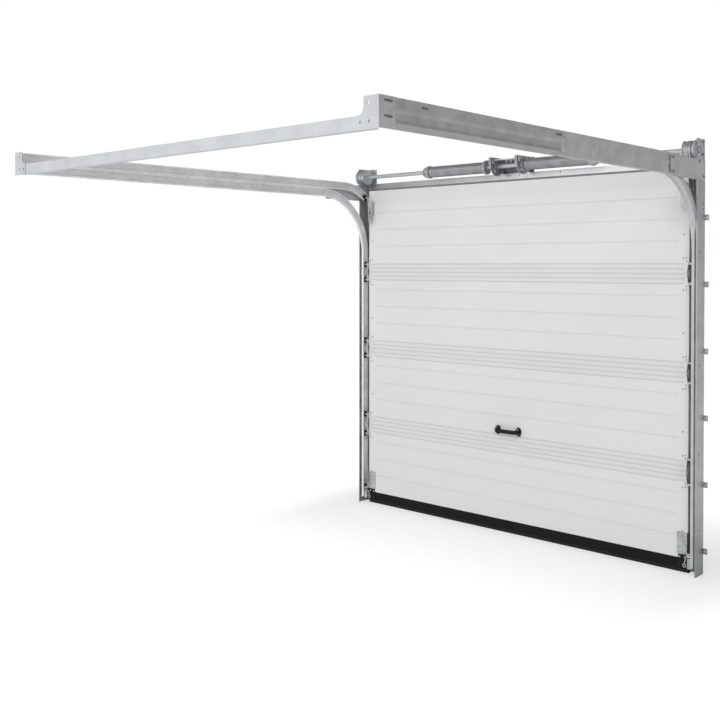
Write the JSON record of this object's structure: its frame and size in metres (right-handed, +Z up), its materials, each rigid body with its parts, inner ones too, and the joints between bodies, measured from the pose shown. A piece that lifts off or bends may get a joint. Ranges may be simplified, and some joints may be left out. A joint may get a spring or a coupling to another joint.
{
  "type": "sectional garage door",
  "caption": "Closed sectional garage door seen with its jambs, roller tracks, rear cross bar and torsion spring shaft, made to stand against a wall.",
  "frame": {"origin": "middle of the header angle's back face, in the plane of the wall's inner face, 2140 mm above the floor", "axes": "+X along the door, to the right as seen from inside the garage; +Y out through the wall; +Z up"},
  "size_m": [2.424, 2.5753, 2.276],
  "materials": {
    "leaf_white": "satin",
    "cap_white": "satin",
    "galvanised": "satin",
    "black_profile": "satin",
    "black_plastic": "matte",
    "rubber": "matte",
    "spring_steel": "satin",
    "cast_metal": "matte",
    "cable_steel": "satin"
  },
  "bodies": {
    "root": {"bearing_plate_left": "galvanised", "bearing_plate_right": "galvanised", "bottom_bracket_left": "galvanised", "bottom_bracket_right": "galvanised", "bottom_profile": "black_profile", "bottom_seal": "rubber", "centre_bracket": "galvanised", "corner_cap_left": "black_plastic", "corner_cap_right": "black_plastic", "cross_bar": "galvanised", "curved_track_left": "galvanised", "curved_track_right": "galvanised", "drum_left": "cast_metal", "drum_right": "cast_metal", "end_caps_left": "cap_white", "end_caps_right": "cap_white", "gusset_plate_left": "galvanised", "gusset_plate_right": "galvanised", "handle": "black_plastic", "header_angle": "galvanised", "hinges_left": "galvanised", "hinges_right": "galvanised", "jamb_left": "galvanised", "jamb_right": "galvanised", "lift_cable_left": "cable_steel", "lift_cable_right": "cable_steel", "rail_front_left": "galvanised", "rail_front_right": "galvanised", "rail_rear_left": "galvanised", "rail_rear_right": "galvanised", "rear_plate_left": "galvanised", "rear_plate_right": "galvanised", "rollers_left": "black_plastic", "rollers_right": "black_plastic", "section_1": "leaf_white", "section_2": "leaf_white", "section_3": "leaf_white", "section_4": "leaf_white", "side_seal_left": "rubber", "side_seal_right": "rubber", "spring_break_left": "cast_metal", "spring_break_right": "cast_metal", "spring_left": "spring_steel", "spring_right": "spring_steel", "top_bracket_left": "galvanised", "top_bracket_right": "galvanised", "top_seal": "rubber", "torsion_shaft": "galvanised", "upper_track_left": "galvanised", "upper_track_right": "galvanised", "vertical_track_left": "galvanised", "vertical_track_right": "galvanised", "winding_cone_left": "cast_metal", "winding_cone_right": "cast_metal"}
  },
  "joints": []
}
